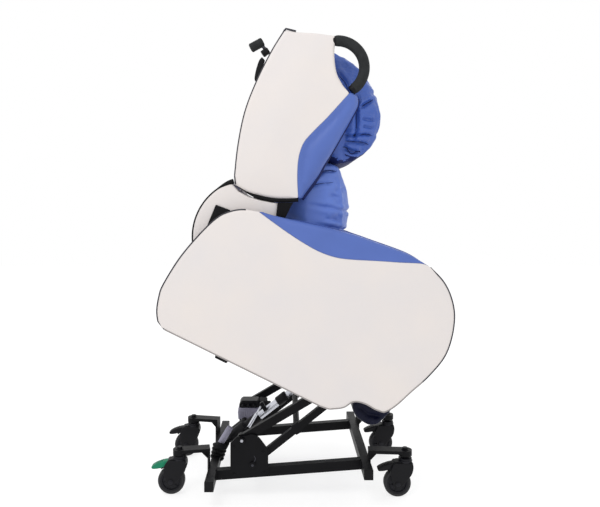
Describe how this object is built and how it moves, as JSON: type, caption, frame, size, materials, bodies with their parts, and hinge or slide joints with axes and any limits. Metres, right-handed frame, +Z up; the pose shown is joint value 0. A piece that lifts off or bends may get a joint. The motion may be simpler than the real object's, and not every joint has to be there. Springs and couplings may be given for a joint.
{
  "type": "rise and recline care chair",
  "caption": "Padded care armchair on a castor base with a linkage that raises the seat and tips it forward to help its user stand, with reclining winged back and swing-out legrest.",
  "frame": {"origin": "on the floor under the middle of the chair's overall length and width, with the seat raised", "axes": "+Z up, +X the chair's front, +Y the sitter's left"},
  "size_m": [1.0666, 0.74, 1.692],
  "materials": {
    "white_vinyl": "wipe-clean vinyl, fine grain, satin",
    "blue_vinyl": "wipe-clean stretch vinyl, soft satin",
    "navy_vinyl": "wipe-clean vinyl, dark",
    "black_steel": "black powder coat",
    "zinc_metal": "satin silver",
    "foam_grip": "closed-cell foam, matte",
    "black_plastic": "moulded, satin",
    "castor_tyre": "matte",
    "green_plastic": "moulded, satin",
    "plywood": "raw birch ply",
    "edge_piping": "satin edge trim"
  },
  "bodies": {
    "root": {"rear_crossmember": "black_steel", "front_crossmember": "black_steel", "side_rail_right": "black_steel", "side_rail_left": "black_steel", "pivot_plate_right": "black_steel", "pivot_plate_left": "black_steel", "control_box": "zinc_metal"},
    "upper_links": {"upper_link_right": "black_steel", "upper_link_left": "black_steel"},
    "lower_links": {"lower_link_right": "black_steel", "lower_link_left": "black_steel", "lower_link_tube": "black_steel"},
    "lift_motor": {"lift_actuator_body": "zinc_metal"},
    "lift_rod": {"lift_actuator_rod": "zinc_metal"},
    "seat": {"seat_rail_right": "black_steel", "seat_rail_left": "black_steel", "link_lug_right": "black_steel", "link_lug_left": "black_steel", "seat_front_tube": "black_steel", "seat_rear_tube": "black_steel", "seat_deck": "plywood", "recline_bracket_right": "black_steel", "recline_bracket_left": "black_steel", "legrest_bracket_right": "black_steel", "legrest_bracket_left": "black_steel", "side_panel_right": "white_vinyl", "side_panel_left": "white_vinyl", "arm_pad_right": "blue_vinyl", "arm_pad_left": "blue_vinyl", "seat_cushion": "blue_vinyl"},
    "legrest": {"legrest_pad": "navy_vinyl", "legrest_arm_right": "black_steel", "legrest_arm_left": "black_steel"},
    "back": {"back_frame": "black_steel", "back_shell": "white_vinyl", "wing_panel_right": "white_vinyl", "wing_panel_left": "white_vinyl", "wing_pad_right": "blue_vinyl", "wing_pad_left": "blue_vinyl", "lower_back_skirt": "white_vinyl", "lumbar_cushion": "blue_vinyl", "head_cushion": "blue_vinyl", "grab_loop_right": "foam_grip", "grab_loop_left": "foam_grip", "push_handle_right": "foam_grip", "push_handle_left": "foam_grip"},
    "release_right": {"release_lever_right": "black_plastic"},
    "release_left": {"release_lever_left": "black_plastic"},
    "castor_rear_right": {"castor_fork_rear_right": "black_plastic"},
    "wheel_rear_right": {"castor_wheel_rear_right": "castor_tyre"},
    "pedal_rear_right": {"brake_pedal_rear_right": "green_plastic"},
    "castor_rear_left": {"castor_fork_rear_left": "black_plastic"},
    "wheel_rear_left": {"castor_wheel_rear_left": "castor_tyre"},
    "pedal_rear_left": {"brake_pedal_rear_left": "black_plastic"},
    "castor_front_right": {"castor_fork_front_right": "black_plastic"},
    "wheel_front_right": {"castor_wheel_front_right": "castor_tyre"},
    "pedal_front_right": {"brake_pedal_front_right": "black_plastic"},
    "castor_front_left": {"castor_fork_front_left": "black_plastic"},
    "wheel_front_left": {"castor_wheel_front_left": "castor_tyre"},
    "pedal_front_left": {"brake_pedal_front_left": "black_plastic"}
  },
  "joints": [
    {"name": "lift", "type": "hinge", "parent": "root", "child": "upper_links", "pos_m": [-0.20626, 0, 0.215], "axis": [0, 1, 0], "range_deg": [0, 25.95]},
    {"name": "seat_tilt", "type": "hinge", "parent": "upper_links", "child": "seat", "pos_m": [0.12216, 0, 0.40615], "axis": [0, 1, 0], "range_deg": [-52, 0]},
    {"name": "lower_link_swing", "type": "hinge", "parent": "root", "child": "lower_links", "pos_m": [-0.16726, 0, 0.126], "axis": [0, 1, 0], "range_deg": [0, 26.9]},
    {"name": "lift_motor_swing", "type": "hinge", "parent": "root", "child": "lift_motor", "pos_m": [-0.28526, 0, 0.122], "axis": [0, 1, 0], "range_deg": [0, 18.15]},
    {"name": "lift_rod_slide", "type": "slide", "parent": "lift_motor", "child": "lift_rod", "axis": [0.788, 0, 0.6157], "range_m": [-0.0526, 0]},
    {"name": "recline", "type": "hinge", "parent": "seat", "child": "back", "pos_m": [-0.17026, 0, 0.959], "axis": [0, -1, 0], "range_deg": [0, 40]},
    {"name": "legrest", "type": "hinge", "parent": "seat", "child": "legrest", "pos_m": [0.42127, 0, 0.55177], "axis": [0, -1, 0], "range_deg": [0, 80]},
    {"name": "castor_swivel_rear_right", "type": "hinge", "parent": "root", "child": "castor_rear_right", "pos_m": [-0.44126, -0.18, 0.15], "axis": [0, 0, 1], "continuous": true},
    {"name": "wheel_roll_rear_right", "type": "hinge", "parent": "castor_rear_right", "child": "wheel_rear_right", "pos_m": [-0.47126, -0.18, 0.05], "axis": [0, 1, 0], "continuous": true},
    {"name": "brake_rear_right", "type": "hinge", "parent": "castor_rear_right", "child": "pedal_rear_right", "pos_m": [-0.48526, -0.18, 0.112], "axis": [0, -1, 0], "range_deg": [0, 12]},
    {"name": "castor_swivel_rear_left", "type": "hinge", "parent": "root", "child": "castor_rear_left", "pos_m": [-0.44126, 0.18, 0.15], "axis": [0, 0, 1], "continuous": true},
    {"name": "wheel_roll_rear_left", "type": "hinge", "parent": "castor_rear_left", "child": "wheel_rear_left", "pos_m": [-0.47126, 0.18, 0.05], "axis": [0, 1, 0], "continuous": true},
    {"name": "brake_rear_left", "type": "hinge", "parent": "castor_rear_left", "child": "pedal_rear_left", "pos_m": [-0.48526, 0.18, 0.112], "axis": [0, -1, 0], "range_deg": [0, 12]},
    {"name": "castor_swivel_front_right", "type": "hinge", "parent": "root", "child": "castor_front_right", "pos_m": [0.39474, -0.2, 0.15], "axis": [0, 0, 1], "continuous": true},
    {"name": "wheel_roll_front_right", "type": "hinge", "parent": "castor_front_right", "child": "wheel_front_right", "pos_m": [0.36474, -0.2, 0.05], "axis": [0, 1, 0], "continuous": true},
    {"name": "brake_front_right", "type": "hinge", "parent": "castor_front_right", "child": "pedal_front_right", "pos_m": [0.35074, -0.2, 0.112], "axis": [0, -1, 0], "range_deg": [0, 12]},
    {"name": "castor_swivel_front_left", "type": "hinge", "parent": "root", "child": "castor_front_left", "pos_m": [0.39474, 0.2, 0.15], "axis": [0, 0, 1], "continuous": true},
    {"name": "wheel_roll_front_left", "type": "hinge", "parent": "castor_front_left", "child": "wheel_front_left", "pos_m": [0.36474, 0.2, 0.05], "axis": [0, 1, 0], "continuous": true},
    {"name": "brake_front_left", "type": "hinge", "parent": "castor_front_left", "child": "pedal_front_left", "pos_m": [0.35074, 0.2, 0.112], "axis": [0, -1, 0], "range_deg": [0, 12]},
    {"name": "release_right", "type": "hinge", "parent": "back", "child": "release_right", "pos_m": [-0.13026, -0.25, 1.585], "axis": [0, 1, 0], "range_deg": [0, 16], "stiffness_Nm_per_rad": 1.5, "springref_deg": -2.86},
    {"name": "release_left", "type": "hinge", "parent": "back", "child": "release_left", "pos_m": [-0.13026, 0.25, 1.585], "axis": [0, 1, 0], "range_deg": [0, 16], "stiffness_Nm_per_rad": 1.5, "springref_deg": -2.86}
  ],
  "couplings": [
    {"joint": "seat_tilt", "follows": "lift", "ratio": -2.0019},
    {"joint": "lower_link_swing", "follows": "lift", "ratio": 1.0347},
    {"joint": "lift_motor_swing", "follows": "lift", "ratio": 0.69763},
    {"joint": "lift_rod_slide", "follows": "lift", "m_per_rad": -0.11494}
  ]
}
